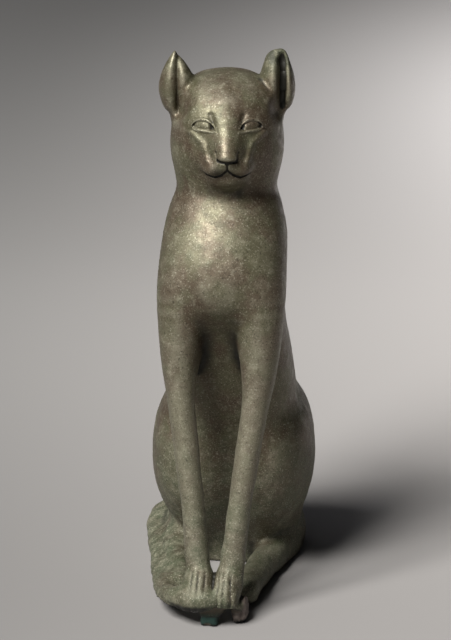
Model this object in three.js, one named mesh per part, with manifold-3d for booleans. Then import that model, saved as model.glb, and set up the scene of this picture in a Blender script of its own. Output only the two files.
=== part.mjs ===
import * as THREE from "three";
import Module from "manifold-3d";

// A seated cat cast in bronze, hollow and open underneath, as a coffin for a cat.
// Millimetres, +Z up. The cat looks along -Y and +X is the cat's left.
// The whole casting is one form: a function that is negative inside the metal.
// Its named sizes are measured from a line near the cat's middle, and at the end
// the part is moved so that its box is centred in x and y.

// Driving dimensions

const HEAD_YAW = 6.5; // degrees that the head is turned to the cat's left
const HEAD_PIVOT_Y = 12;
const EAR_TOP = 444;
const EAR_FOOT = 387;
const TRUNK_TOP = 368; // the trunk ends here, inside the head
const SQUARENESS = 2.25; // power of the trunk's and haunches' ovals: 2 is a plain ellipse
const MIDLINE = 9; // rounds the valley between the haunches
const TOE_PITCH = 5.2;
const PAW_X = 11.4; // middle of each forepaw
const WALL = 5; // thickness of the cast wall
const SOLE_Z = 14; // the forepaws' soles stand this far above the ground, on the tang
const FOOT_LIFT = 3.5; // the hind feet's soles rise this much towards the toes
const UPRIGHT = 3; // below this height the feet and tail go straight down
const GROUND_CUT = 60; // depth of the block that trims everything below the ground
const SKIN_FOOT = -14; // the forms run on below the ground before they are trimmed there
const HOLLOW_FOOT = -26;
const GRID = 3; // first grid of the skin
const SKIN_TRIANGLES = 8300;
const CAVITY_GRID = 7;
const CAVITY_TRIANGLES = 900;
const FINISH = { color: 0x6d6a52, roughness: 0.48, metalness: 0.85 };

// The trunk at each height: front, widest and back line in y, and half width.
const TRUNK = [
  { z: -30, front: 46, widest: 84, back: 124, half: 53 },
  { z: 0, front: 42, widest: 84, back: 130, half: 54 },
  { z: 40, front: 36, widest: 80, back: 137, half: 55 },
  { z: 80, front: 20, widest: 70, back: 135, half: 54 },
  { z: 120, front: 3, widest: 58, back: 124, half: 53 },
  { z: 160, front: -12, widest: 44, back: 107, half: 52.5 },
  { z: 200, front: -27, widest: 26, back: 87, half: 49 },
  { z: 222, front: -38, widest: 10, back: 75, half: 47 },
  { z: 237, front: -48.5, widest: 3, back: 67, half: 46.6 },
  { z: 250, front: -57.5, widest: -4, back: 61, half: 47.4 },
  { z: 264, front: -61, widest: -7, back: 56, half: 48.6 },
  { z: 280, front: -58.5, widest: -7, back: 52, half: 49.4 },
  { z: 300, front: -50, widest: -2, back: 49, half: 48.6 },
  { z: 318, front: -38, widest: 5, back: 48, half: 44.6 },
  { z: 334, front: -29, widest: 10, back: 50, half: 39.4 },
  { z: 350, front: -24, widest: 14, back: 53, half: 37.6 },
  { z: 380, front: -20, widest: 14, back: 50, half: 33 },
];

// Routes of the limbs: x, y, z and radius at each station, on the cat's left side.
const FORELEG = [
  [22, -12, 300, 12],
  [29.6, -33, 262, 17],
  [32.2, -42, 225, 12.8],
  [30, -49.5, 178, 10.8],
  [24.6, -57.5, 136, 10],
  [18.8, -65, 93, 9.2],
  [14.6, -72, 52, 9.6],
  [12.4, -76.5, 34, 10.4],
];
const HIND_FOOT_LEFT = [
  [40.6, 98, 13, 16],
  [40.4, 68, 11, 13.6],
  [36, 40, 11, 12.6],
  [30.2, 17, 11, 12],
  [26.4, -4, 11, 11.8],
  [22.4, -28, 11.4, 11.4],
  [20, -45, 11.6, 11],
];
const HIND_FOOT_RIGHT = [
  [-41, 98, 13, 17],
  [-43, 66, 14, 16],
  [-43, 40, 15, 14.6],
  [-41, 17, 14, 13.2],
  [-38.5, -4, 13.5, 12.4],
  [-35.5, -26, 13, 11.8],
  [-33.5, -44, 13, 11],
];
const TAIL = [
  [14, 118, 26, 12],
  [-12, 132, 19, 13.5],
  [-43, 134, 14, 13],
  [-62, 118, 13, 12],
  [-67.5, 98, 12, 11],
  [-64, 64, 10, 9.4],
  [-57.5, 22, 9, 7.6],
  [-50.5, -22, 10, 7],
  [-44.5, -50, 13, 7],
  [-36, -76, 18, 7.2],
  [-22, -93, 22, 7.4],
  [-8, -97, 23, 7.2],
  [-3.5, -96.5, 23, 6.6],
];

// Small helpers for forms

const { abs, cos, max, min, sin, sqrt } = Math;
const radians = (degrees) => (degrees * Math.PI) / 180;
const mix = (a, b, t) => a + (b - a) * t;
const clamp01 = (t) => (t < 0 ? 0 : t > 1 ? 1 : t);
const smooth = (from, to, value) => {
  const t = clamp01((value - from) / (to - from));
  return t * t * (3 - 2 * t);
};

const bump = (distance, width) => Math.exp(-((distance / width) ** 2));

// Joins two forms, with a fillet about `soft` wide.
function join(a, b, soft) {
  const h = max(soft - abs(a - b), 0) / soft;
  return min(a, b) - (h * h * soft) / 4;
}

// Cuts form b out of form a, with an edge about `soft` wide.
function cut(a, b, soft) {
  return -join(-a, b, soft);
}

// Keeps what is inside both forms.
function both(a, b, soft) {
  return -join(-a, -b, soft);
}

function ellipsoid(x, y, z, cx, cy, cz, rx, ry, rz) {
  const u = (x - cx) / rx;
  const v = (y - cy) / ry;
  const w = (z - cz) / rz;
  const q = sqrt(u * u + v * v + w * w);
  const slope = sqrt((u / rx) ** 2 + (v / ry) ** 2 + (w / rz) ** 2) + 1e-9;
  return (q * (q - 1)) / slope;
}

// An ellipsoid with squarer shoulders, for a power over 2
function squareEllipsoid(x, y, z, cx, cy, cz, rx, ry, rz, power) {
  const u = x - cx;
  const v = y - cy;
  const w = z - cz;
  const q = ((abs(u) / rx) ** power + (abs(v) / ry) ** power + (abs(w) / rz) ** power) ** (1 / power);
  return q > 1e-6 ? sqrt(u * u + v * v + w * w) * (1 - 1 / q) : -min(rx, ry, rz);
}

// A smooth curve through stations: a Catmull-Rom spline cut into short straight runs.
function smoothRoute(stations, cuts = 4) {
  const at = (i) => stations[min(max(i, 0), stations.length - 1)];
  const runs = [];
  for (let i = 0; i < stations.length - 1; i++) {
    for (let k = 0; k < cuts; k++) {
      const t = k / cuts;
      runs.push(
        at(i).map((_, j) => {
          const [a, b, c, d] = [at(i - 1)[j], at(i)[j], at(i + 1)[j], at(i + 2)[j]];
          const bend = (2 * a - 5 * b + 4 * c - d) * t * t + (3 * b - a - 3 * c + d) * t * t * t;
          return 0.5 * (2 * b + (c - a) * t + bend);
        }),
      );
    }
  }
  runs.push(stations[stations.length - 1]);
  return runs;
}

// A limb along a route, round in section.
function limb(x, y, z, route) {
  let nearest = 1e9;
  for (let i = 0; i < route.length - 1; i++) {
    const a = route[i];
    const b = route[i + 1];
    const dx = b[0] - a[0];
    const dy = b[1] - a[1];
    const dz = b[2] - a[2];
    const along = (x - a[0]) * dx + (y - a[1]) * dy + (z - a[2]) * dz;
    const t = clamp01(along / (dx * dx + dy * dy + dz * dz));
    const px = x - a[0] - dx * t;
    const py = y - a[1] - dy * t;
    const pz = z - a[2] - dz * t;
    nearest = min(nearest, sqrt(px * px + py * py + pz * pz) - mix(a[3], b[3], t));
  }
  return nearest;
}

// Values of named stations at any height, sampled once for speed.
function profile(stations, keys) {
  const low = stations[0].z;
  const high = stations[stations.length - 1].z;
  const table = [];
  for (let z = low; z <= high; z++) {
    let i = 0;
    while (i < stations.length - 2 && stations[i + 1].z < z) i++;
    const s = (k) => stations[min(max(k, 0), stations.length - 1)];
    const t = (z - s(i).z) / (s(i + 1).z - s(i).z);
    table.push(
      keys.map((key) => {
        const span = s(i + 1).z - s(i).z;
        const slope = (k) => {
          const rise = s(k + 1)[key] - s(k - 1)[key];
          return (rise / (s(k + 1).z - s(k - 1).z)) * span;
        };
        const [p, q, m, n] = [s(i)[key], s(i + 1)[key], slope(i), slope(i + 1)];
        const t2 = t * t;
        const t3 = t2 * t;
        return p * (2 * t3 - 3 * t2 + 1) + m * (t3 - 2 * t2 + t) + q * (3 * t2 - 2 * t3) + n * (t3 - t2);
      }),
    );
  }
  return (z) => {
    const place = min(max(z - low, 0), high - low - 1e-6);
    const i = Math.floor(place);
    return { low: table[i], high: table[min(i + 1, table.length - 1)], t: place - i };
  };
}

// Trunk: chest, belly, back and neck as one column of oval sections

const trunkAt = profile(TRUNK, ["front", "widest", "back", "half"]);

function trunk(x, y, z) {
  const { low, high, t } = trunkAt(z);
  const widest = mix(low[1], high[1], t);
  const half = mix(low[3], high[3], t);
  const depth = y < widest ? widest - mix(low[0], high[0], t) : mix(low[2], high[2], t) - widest;
  const u = abs(x) / half;
  const v = abs(y - widest) / depth;
  const q = (u ** SQUARENESS + v ** SQUARENESS) ** (1 / SQUARENESS);
  const across = sqrt(x * x + (y - widest) ** 2);
  const side = q > 1e-6 ? across * (1 - 1 / q) : -min(half, depth);
  return both(side, z - TRUNK_TOP, 10);
}

// Legs, paws and tail

const foreleg = smoothRoute(FORELEG);
const hindFootLeft = smoothRoute(HIND_FOOT_LEFT);
const hindFootRight = smoothRoute(HIND_FOOT_RIGHT);
const tailRoute = smoothRoute(TAIL);

function haunch(x, y, z) {
  const u = sqrt(x * x + MIDLINE ** 2);
  const hip = z - 0.08 * (y - 60);
  const top = squareEllipsoid(u, y, hip, 29, 60, 103, 38, 58, 54, SQUARENESS);
  const low = ellipsoid(u, y, z, 26, 68, 73, 37.4, 55, 55);
  return join(top, low, 16);
}

function forepaw(u, y, z) {
  const instep = ellipsoid(u, y, z, PAW_X, -82, 29, 11.8, 15, 14);
  const toes = ellipsoid(u, y, z, PAW_X, -88, 23, 11.4, 12.5, 9.6);
  let form = join(instep, toes, 6);
  for (const side of [-1.5, -0.5, 0.5, 1.5]) {
    const toeX = PAW_X + side * TOE_PITCH;
    const toeY = -92 + abs(side) * 1.6;
    form = join(form, ellipsoid(u, y, z, toeX, toeY, 22.5, 3.6, 9, 8.6), 1.6);
  }
  const groove = min(abs(u - PAW_X), abs(abs(u - PAW_X) - TOE_PITCH));
  form += 1.1 * bump(groove, 1.1) * smooth(-82, -90, y);
  return both(form, SOLE_Z - z, 3);
}

function hindToes(x, y, z, cx, cy, turn) {
  const c = cos(turn);
  const s = sin(turn);
  const u = c * (x - cx) + s * (y - cy);
  const v = -s * (x - cx) + c * (y - cy);
  let form = 1e9;
  for (const side of [-1, 0, 1]) {
    form = join(form, ellipsoid(u, v, z, side * 6.4, abs(side) * 1.5, 10, 4.4, 12, 9), 1.6);
  }
  return form;
}

function lowerBody(x, y, z) {
  const u = abs(x);
  const leg = join(limb(u, y, z, foreleg), forepaw(u, y, z), 7);
  const shoulder = ellipsoid(u, y, z, 29.5, -24, 246, 18.5, 28, 54);
  const elbow = ellipsoid(u, y, z, 31.6, -33, 202, 10.6, 15, 34);
  return join(leg, join(shoulder, elbow, 14), 14);
}

// Base lumps: the tang under the forepaws and the broken lump beside the left one

function tang(x, y, z) {
  const stub = squareEllipsoid(x, y, z, -2.5, -90, 8, 6.6, 5.6, 15, 3.4);
  const spur = ellipsoid(x, y, z, 3, -88, 13, 6, 6, 7);
  return join(stub, spur, 4);
}

function brokenLump(x, y, z) {
  const main = squareEllipsoid(x, y, z, 22.6, -80, 10.5, 4.6, 7, 9.6, 3.2);
  const bit = ellipsoid(x, y, z, 19, -85, 9, 3.6, 5, 8.4);
  return join(main, bit, 2);
}

// Head, in its own turned frame, where u runs to the cat's left and v to the back

const YAW_COS = cos(radians(HEAD_YAW));
const YAW_SIN = sin(radians(HEAD_YAW));

function toHead(x, y) {
  const w = y - HEAD_PIVOT_Y;
  return [YAW_COS * x + YAW_SIN * w, HEAD_PIVOT_Y - YAW_SIN * x + YAW_COS * w];
}

// Each ear at each height: its inner and outer edge from the head's middle, its front and its back.
const RIGHT_EAR = [
  { z: 384, inner: 30, outer: 42, front: 8, back: 24 },
  { z: 391, inner: 28, outer: 45, front: 2, back: 27 },
  { z: 397, inner: 27, outer: 50, front: -2, back: 29 },
  { z: 405, inner: 26, outer: 52.8, front: -4, back: 30 },
  { z: 412, inner: 25, outer: 53.9, front: -5, back: 30 },
  { z: 420, inner: 26, outer: 52.6, front: -5, back: 27 },
  { z: 429, inner: 30.6, outer: 49.6, front: -3, back: 21 },
  { z: 436, inner: 35, outer: 45.8, front: 0, back: 15 },
  { z: 444, inner: 39.4, outer: 41.6, front: 4, back: 8 },
];
const LEFT_EAR = [
  { z: 384, inner: 30, outer: 42, front: 8, back: 24 },
  { z: 391, inner: 28, outer: 45, front: 2, back: 27 },
  { z: 397, inner: 26, outer: 50, front: -2, back: 29 },
  { z: 405, inner: 25, outer: 52.6, front: -4, back: 30 },
  { z: 412, inner: 24.4, outer: 53.4, front: -5, back: 30 },
  { z: 420, inner: 25, outer: 52.6, front: -5, back: 27 },
  { z: 429, inner: 27.4, outer: 50.4, front: -3, back: 22 },
  { z: 438, inner: 30.6, outer: 47.4, front: 1, back: 16 },
  { z: 444, inner: 36, outer: 44.6, front: 4, back: 10 },
];
const EAR_KEYS = ["inner", "outer", "front", "back"];
const rightEarAt = profile(RIGHT_EAR, EAR_KEYS);
const leftEarAt = profile(LEFT_EAR, EAR_KEYS);

// An ear is a leaf with an oval section.
function earLeaf(u, v, z, sections) {
  const { low, high, t } = sections(z);
  const inner = mix(low[0], high[0], t);
  const outer = mix(low[1], high[1], t);
  const front = mix(low[2], high[2], t);
  const back = mix(low[3], high[3], t);
  const a = u - (inner + outer) / 2;
  const b = v - (front + back) / 2;
  const q = sqrt((a / (outer - inner)) ** 2 + (b / (back - front)) ** 2) * 2;
  const side = q > 1e-6 ? sqrt(a * a + b * b) * (1 - 1 / q) : -1;
  return both(side, max(z - EAR_TOP, EAR_FOOT - z), 3);
}

// The hollow of the ear is a wedge: an inner wall that runs back and outwards from the
// forehead, to a narrow channel behind the ear's outer lobe.
function earWedge(u, v, z, channelU) {
  const rise = (z - 412) / 27;
  const a = u - channelU;
  const b = v - 8 + 3 * rise - 6 * rise * rise;
  const innerWall = b * 0.4 - a * 0.92;
  const lobeWall = a * 0.97 + b * 0.24;
  const reach = ellipsoid(u, v, z, channelU - 2, -4, 418, 12, 22, 26);
  return both(both(innerWall, lobeWall, 2.4), reach, 6);
}

// The distance from a point to a line drawn on the face through named points
function toLine(u, z, points) {
  let nearest = 1e9;
  for (let i = 0; i < points.length - 1; i++) {
    const [ax, az] = points[i];
    const [bx, bz] = points[i + 1];
    const dx = bx - ax;
    const dz = bz - az;
    const t = clamp01(((u - ax) * dx + (z - az) * dz) / (dx * dx + dz * dz));
    nearest = min(nearest, sqrt((u - ax - dx * t) ** 2 + (z - az - dz * t) ** 2));
  }
  return nearest;
}

const EYE = { u: 18.8, z: 391.6, halfWidth: 8.4, halfHeight: 5.2 };
const BRIDGE = [
  [0, -20, 401, 9],
  [0, -31.5, 389, 9],
  [0, -46, 373, 7],
];
const BROW_GROOVE = [
  [14, 401.5],
  [10.6, 396],
  [10.6, 388],
  [9.2, 377],
];
const CHEEK_RIDGE = [
  [28.8, 386],
  [18.8, 378],
  [15.6, 367],
];
const PHILTRUM = [
  [0, 366],
  [0, 359.8],
];
const MOUTH = [
  [0, 359.8],
  [4.5, 355.6],
  [10, 353.6],
  [16.6, 355.4],
];
const EYE_CORNER = [
  [25, 390.4],
  [29.5, 387.2],
];

// Height of the face's carving over the plain head, seen from the front.
function faceRelief(u, z) {
  const q = sqrt(((u - EYE.u) / EYE.halfWidth) ** 2 + ((z - EYE.z) / EYE.halfHeight) ** 2);
  let height = 0;
  if (q < 2.2) {
    const ball = q < 0.7 ? 1.5 * sqrt(1 - (q / 0.7) ** 2) : 0;
    height += ball - 1.3 * (1 - smooth(0.72, 0.98, q)) + 0.6 * bump(q - 1.12, 0.26);
  }
  height -= 0.6 * bump(toLine(u, z, EYE_CORNER), 0.9);
  height -= 1.1 * bump(toLine(u, z, BROW_GROOVE), 2);
  height += 1.2 * bump(toLine(u, z, CHEEK_RIDGE), 2.8);
  height -= 1.4 * bump(toLine(u, z, MOUTH), 1.4);
  height -= 1.1 * bump(toLine(u, z, PHILTRUM), 1);
  return height;
}

function head(x, y, z) {
  const [side, v] = toHead(x, y);
  const u = abs(side);
  let form = squareEllipsoid(u, v, z, 0, 14, 382, 43.6, 46, 44, 2.4);
  form = join(form, ellipsoid(u, v, z, 0, 6, 362, 38.8, 36, 29), 16);
  form = join(form, ellipsoid(u, v, z, 0, -9, 385, 31, 29, 22), 12);
  form = join(form, ellipsoid(u, v, z, 0, -22, 364.6, 18, 28.5, 14), 8);
  form = join(form, ellipsoid(u, v, z, 0, -24, 375, 19, 22, 12), 7);
  form = join(form, limb(u, v, z, BRIDGE), 9);
  form = join(form, ellipsoid(u, v, z, 15, -18, 367, 13.6, 17, 14), 8);
  form = join(form, ellipsoid(u, v, z, 9.4, -35.6, 360.4, 10.2, 12, 8.8), 4);
  form = join(form, ellipsoid(u, v, z, 0, -29.5, 350.4, 15.5, 13.5, 8.6), 5);
  form = join(form, ellipsoid(u, v, z, 0, -49, 370, 8.2, 6.6, 4.6), 2);
  if (v < -5 && u < 36 && z > 338 && z < 412) {
    form -= faceRelief(u, z) * smooth(-8, -18, v);
  }
  if (z > 376 && u > 18) {
    form = join(form, earLeaf(u, v, z, side > 0 ? leftEarAt : rightEarAt), 5);
    const edge = mix(9, 3.2, smooth(394, 410, z));
    form = cut(form, earWedge(u, v, z, side > 0 ? 44.2 : 38.4), edge);
  }
  return form;
}

// The whole skin

function skin(x, y, z) {
  let form = trunk(x, y, z);
  if (z < 200) form = join(form, haunch(x, y, z), mix(20, 9, smooth(20, 46, abs(x))));
  if (z < 330) form = join(form, lowerBody(x, y, z), 10);
  if (z > 306) form = join(form, head(x, y, z), 15);
  if (z < 60) {
    const flat = both(z, UPRIGHT, 4);
    const left = join(limb(x, y, flat, hindFootLeft), hindToes(x, y, z, 19.5, -46, radians(-6)), 6);
    const right = join(limb(x, y, flat, hindFootRight), hindToes(x, y, z, -33.5, -45, radians(8)), 6);
    const lift = FOOT_LIFT * smooth(60, -60, y);
    const feet = max(join(left, right, 1), lift - z);
    form = join(form, feet, x > 0 ? 5 : 10);
    form = join(form, limb(x, y, flat, tailRoute), 5 + 4 * smooth(110, 130, y));
    form = join(form, join(tang(x, y, z), brokenLump(x, y, z), 2), 2);
  }
  return max(form, SKIN_FOOT - z);
}

// The hollow inside follows trunk, haunches and skull, a wall's thickness in.
function hollow(x, y, z) {
  let form = trunk(x, y, z);
  form = join(form, haunch(x, y, z), 9);
  if (z > 325) {
    form = join(form, ellipsoid(x, y, z, 0, 14, 382, 43, 45, 42), 12);
  }
  return max(form + WALL, HOLLOW_FOOT - z);
}

// Meshing

// A grid of cubes, with one corner of the mesh in each cube that the skin passes through.
function surfaceNet(form, lo, hi, step) {
  const count = lo.map((_, i) => Math.ceil((hi[i] - lo[i]) / step) + 1);
  const [nx, ny, nz] = count;
  const value = new Float32Array(nx * ny * nz);
  const index = (i, j, k) => i + nx * (j + ny * k);
  for (let k = 0; k < nz; k++)
    for (let j = 0; j < ny; j++)
      for (let i = 0; i < nx; i++)
        value[index(i, j, k)] = form(lo[0] + i * step, lo[1] + j * step, lo[2] + k * step);
  const vertexOf = new Int32Array(nx * ny * nz).fill(-1);
  const points = [];
  const faces = [];
  for (let k = 0; k < nz - 1; k++)
    for (let j = 0; j < ny - 1; j++)
      for (let i = 0; i < nx - 1; i++) {
        let n = 0;
        const sum = [0, 0, 0];
        for (let a = 0; a < 8; a++)
          for (let axis = 0; axis < 3; axis++) {
            if ((a >> axis) & 1) continue;
            const b = a | (1 << axis);
            const ca = [i + (a & 1), j + ((a >> 1) & 1), k + ((a >> 2) & 1)];
            const cb = [i + (b & 1), j + ((b >> 1) & 1), k + ((b >> 2) & 1)];
            const va = value[index(...ca)];
            const vb = value[index(...cb)];
            if (va < 0 === vb < 0) continue;
            const t = va / (va - vb);
            for (let d = 0; d < 3; d++) sum[d] += mix(ca[d], cb[d], t);
            n++;
          }
        if (!n) continue;
        vertexOf[index(i, j, k)] = points.length;
        points.push(sum.map((s, d) => lo[d] + (s / n) * step));
      }
  const axes = [
    [1, 0, 0],
    [0, 1, 0],
    [0, 0, 1],
  ];
  for (let k = 1; k < nz - 1; k++)
    for (let j = 1; j < ny - 1; j++)
      for (let i = 1; i < nx - 1; i++)
        for (let axis = 0; axis < 3; axis++) {
          const here = value[index(i, j, k)] < 0;
          const [ax, ay, az] = axes[axis];
          if (here === value[index(i + ax, j + ay, k + az)] < 0) continue;
          const [bx, by, bz] = axes[(axis + 1) % 3];
          const [cx, cy, cz] = axes[(axis + 2) % 3];
          const ring = [
            vertexOf[index(i, j, k)],
            vertexOf[index(i - bx, j - by, k - bz)],
            vertexOf[index(i - bx - cx, j - by - cy, k - bz - cz)],
            vertexOf[index(i - cx, j - cy, k - cz)],
          ];
          if (!here) ring.reverse();
          faces.push([ring[0], ring[1], ring[2]], [ring[0], ring[2], ring[3]]);
        }
  return { points, faces };
}

// Moves a point onto the surface of a form along its slope.
function settle(form, point, steps = 3, limit = 2) {
  const e = 0.15;
  for (let i = 0; i < steps; i++) {
    const [x, y, z] = point;
    const f = form(x, y, z);
    const g = [
      (form(x + e, y, z) - form(x - e, y, z)) / (2 * e),
      (form(x, y + e, z) - form(x, y - e, z)) / (2 * e),
      (form(x, y, z + e) - form(x, y, z - e)) / (2 * e),
    ];
    const g2 = max(g[0] ** 2 + g[1] ** 2 + g[2] ** 2, 0.05);
    const size = min(max(f / g2, -limit), limit);
    for (let d = 0; d < 3; d++) point[d] -= size * g[d];
  }
  return point;
}

// Splits every edge that is longer than the length wanted there.
function refine(mesh, form, wanted) {
  for (let round = 0; round < 3; round++) {
    const middle = new Map();
    const key = (a, b) => (a < b ? a * 1e7 + b : b * 1e7 + a);
    const midpoint = (a, b) => {
      const p = mesh.points[a];
      const q = mesh.points[b];
      const k = key(a, b);
      if (!middle.has(k)) {
        const m = [0, 1, 2].map((d) => (p[d] + q[d]) / 2);
        const length = sqrt(p.reduce((s, _, d) => s + (p[d] - q[d]) ** 2, 0));
        if (length > wanted(...m) * 1.5) {
          middle.set(k, mesh.points.length);
          mesh.points.push(settle(form, m));
        } else middle.set(k, -1);
      }
      return middle.get(k);
    };
    const next = [];
    for (const [a, b, c] of mesh.faces) {
      const mids = [midpoint(a, b), midpoint(b, c), midpoint(c, a)];
      const cuts = mids.filter((m) => m >= 0).length;
      if (cuts === 0) next.push([a, b, c]);
      else if (cuts === 3) {
        const [ab, bc, ca] = mids;
        next.push([a, ab, ca], [ab, b, bc], [ca, bc, c], [ab, bc, ca]);
      } else {
        // Turn the triangle so that its first edge is cut, and its last is not where only two are.
        let corner = [a, b, c];
        let m = mids;
        while (!(m[0] >= 0 && (cuts === 1 || m[2] < 0))) {
          corner = [corner[1], corner[2], corner[0]];
          m = [m[1], m[2], m[0]];
        }
        const [p, q, r] = corner;
        if (cuts === 1) next.push([p, m[0], r], [m[0], q, r]);
        else next.push([m[0], q, m[1]], [p, m[0], r], [m[0], m[1], r]);
      }
    }
    mesh.faces = next;
  }
  return mesh;
}

// Thins a closed mesh to a number of triangles, always folding the edge that changes the shape least.
function thin(mesh, target, weight) {
  const { points, faces } = mesh;
  const quadric = points.map(() => new Float64Array(10));
  const facesOf = points.map(() => new Set());
  const alive = new Uint8Array(faces.length).fill(1);
  const stamp = new Uint32Array(points.length);
  const normalOf = (p, q, r) => {
    const ux = q[0] - p[0];
    const uy = q[1] - p[1];
    const uz = q[2] - p[2];
    const vx = r[0] - p[0];
    const vy = r[1] - p[1];
    const vz = r[2] - p[2];
    return [uy * vz - uz * vy, uz * vx - ux * vz, ux * vy - uy * vx];
  };
  faces.forEach((face, i) => {
    const n = normalOf(...face.map((v) => points[v]));
    const size = sqrt(n[0] ** 2 + n[1] ** 2 + n[2] ** 2) || 1e-12;
    const [a, b, c] = n.map((s) => s / size);
    const p = points[face[0]];
    const d = -(a * p[0] + b * p[1] + c * p[2]);
    const w = (size / 2) * weight(...p);
    const terms = [a * a, a * b, a * c, a * d, b * b, b * c, b * d, c * c, c * d, d * d];
    for (const v of face) {
      facesOf[v].add(i);
      for (let k = 0; k < 10; k++) quadric[v][k] += terms[k] * w;
    }
  });
  const errorAt = (q, [x, y, z]) =>
    q[0] * x * x + 2 * q[1] * x * y + 2 * q[2] * x * z + 2 * q[3] * x +
    q[4] * y * y + 2 * q[5] * y * z + 2 * q[6] * y + q[7] * z * z + 2 * q[8] * z + q[9];
  const bestPlace = (q, a, b) => {
    const det =
      q[0] * (q[4] * q[7] - q[5] * q[5]) - q[1] * (q[1] * q[7] - q[5] * q[2]) +
      q[2] * (q[1] * q[5] - q[4] * q[2]);
    const scale = (q[0] + q[4] + q[7]) / 3;
    const middle = [0, 1, 2].map((d) => (a[d] + b[d]) / 2);
    if (abs(det) > 1e-4 * scale ** 3) {
      const x = -(q[3] * (q[4] * q[7] - q[5] * q[5]) - q[1] * (q[6] * q[7] - q[5] * q[8]) +
        q[2] * (q[6] * q[5] - q[4] * q[8])) / det;
      const y = -(q[0] * (q[6] * q[7] - q[8] * q[5]) - q[3] * (q[1] * q[7] - q[5] * q[2]) +
        q[2] * (q[1] * q[8] - q[6] * q[2])) / det;
      const z = -(q[0] * (q[4] * q[8] - q[6] * q[5]) - q[1] * (q[1] * q[8] - q[6] * q[2]) +
        q[3] * (q[1] * q[5] - q[4] * q[2])) / det;
      const reach = sqrt(a.reduce((s, _, d) => s + (a[d] - b[d]) ** 2, 0));
      const away = sqrt((x - middle[0]) ** 2 + (y - middle[1]) ** 2 + (z - middle[2]) ** 2);
      if (away < reach) return [x, y, z];
    }
    return [a, b, middle].reduce((p, c) => (errorAt(q, c) < errorAt(q, p) ? c : p)).slice();
  };
  const heap = [];
  const swap = (i, j) => ([heap[i], heap[j]] = [heap[j], heap[i]]);
  const push = (entry) => {
    let i = heap.push(entry) - 1;
    while (i > 0) {
      const up = (i - 1) >> 1;
      if (heap[up].cost <= heap[i].cost) break;
      swap(i, up);
      i = up;
    }
  };
  const pop = () => {
    const top = heap[0];
    const last = heap.pop();
    if (heap.length) {
      heap[0] = last;
      for (let i = 0; ; ) {
        const l = 2 * i + 1;
        let least = i;
        if (l < heap.length && heap[l].cost < heap[least].cost) least = l;
        if (l + 1 < heap.length && heap[l + 1].cost < heap[least].cost) least = l + 1;
        if (least === i) break;
        swap(i, least);
        i = least;
      }
    }
    return top;
  };
  const offer = (a, b) => {
    const q = quadric[a].map((v, k) => v + quadric[b][k]);
    const place = bestPlace(q, points[a], points[b]);
    const length2 = points[a].reduce((s, _, d) => s + (points[a][d] - points[b][d]) ** 2, 0);
    const cost = max(errorAt(q, place), 0) + 1e-4 * length2;
    push({ cost, a, b, sa: stamp[a], sb: stamp[b], place });
  };
  faces.forEach(([a, b, c]) => {
    if (a < b) offer(a, b);
    if (b < c) offer(b, c);
    if (c < a) offer(c, a);
  });
  const around = (v) => {
    const ring = new Set();
    for (const f of facesOf[v]) for (const w of faces[f]) if (w !== v) ring.add(w);
    return ring;
  };
  // A fold is refused where it would turn a triangle over or leave a sliver.
  const folds = (v, other, place) => {
    for (const f of facesOf[v]) {
      if (faces[f].includes(other)) continue;
      const before = faces[f].map((w) => points[w]);
      const after = faces[f].map((w) => (w === v ? place : points[w]));
      const n = normalOf(...before);
      const m = normalOf(...after);
      const size = sqrt(n[0] ** 2 + n[1] ** 2 + n[2] ** 2) * sqrt(m[0] ** 2 + m[1] ** 2 + m[2] ** 2);
      if (n[0] * m[0] + n[1] * m[1] + n[2] * m[2] < 0.35 * size) return true;
      let longest = 0;
      for (let k = 0; k < 3; k++) {
        const [p, r] = [after[k], after[(k + 1) % 3]];
        longest = max(longest, (p[0] - r[0]) ** 2 + (p[1] - r[1]) ** 2 + (p[2] - r[2]) ** 2);
      }
      if (sqrt(m[0] ** 2 + m[1] ** 2 + m[2] ** 2) < 0.12 * longest) return true;
    }
    return false;
  };
  let left = faces.length;
  while (left > target && heap.length) {
    const { a, b, sa, sb, place } = pop();
    if (stamp[a] !== sa || stamp[b] !== sb) continue;
    const ringB = around(b);
    const shared = [...around(a)].filter((v) => ringB.has(v));
    if (shared.length !== 2) continue;
    if (folds(a, b, place) || folds(b, a, place)) continue;
    points[a] = place;
    for (let k = 0; k < 10; k++) quadric[a][k] += quadric[b][k];
    for (const f of facesOf[b]) {
      if (faces[f].includes(a)) {
        alive[f] = 0;
        left--;
        for (const v of faces[f]) if (v !== b) facesOf[v].delete(f);
      } else {
        faces[f] = faces[f].map((v) => (v === b ? a : v));
        facesOf[a].add(f);
      }
    }
    facesOf[b] = new Set();
    stamp[b]++;
    stamp[a]++;
    for (const v of around(a)) stamp[v]++;
    const touched = new Set([a, ...around(a)]);
    const offered = new Set();
    for (const v of touched)
      for (const w of around(v)) {
        const k = v < w ? v * 1e7 + w : w * 1e7 + v;
        if (offered.has(k)) continue;
        offered.add(k);
        offer(min(v, w), max(v, w));
      }
  }
  const used = new Map();
  const kept = faces.filter((_, i) => alive[i]);
  for (const face of kept) for (const v of face) if (!used.has(v)) used.set(v, used.size);
  return {
    points: [...used.keys()].map((v) => points[v]),
    faces: kept.map((face) => face.map((v) => used.get(v))),
  };
}

// How fine the skin is wanted at a place, in millimetres between corners
function wantedLength(x, y, z) {
  const [side, v] = toHead(x, y);
  const u = abs(side);
  if (abs(z - EYE.z) < 8 && abs(u - EYE.u) < 12 && v < -10) return 1;
  if (z > 345 && z < 408 && v < -14 && u < 32) return 1.3;
  if (z > 384 && u > 22) return 1.7;
  if (z < 40 && y < -70) return 1.4;
  if (z < 8) return 2;
  return 99;
}

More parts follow.
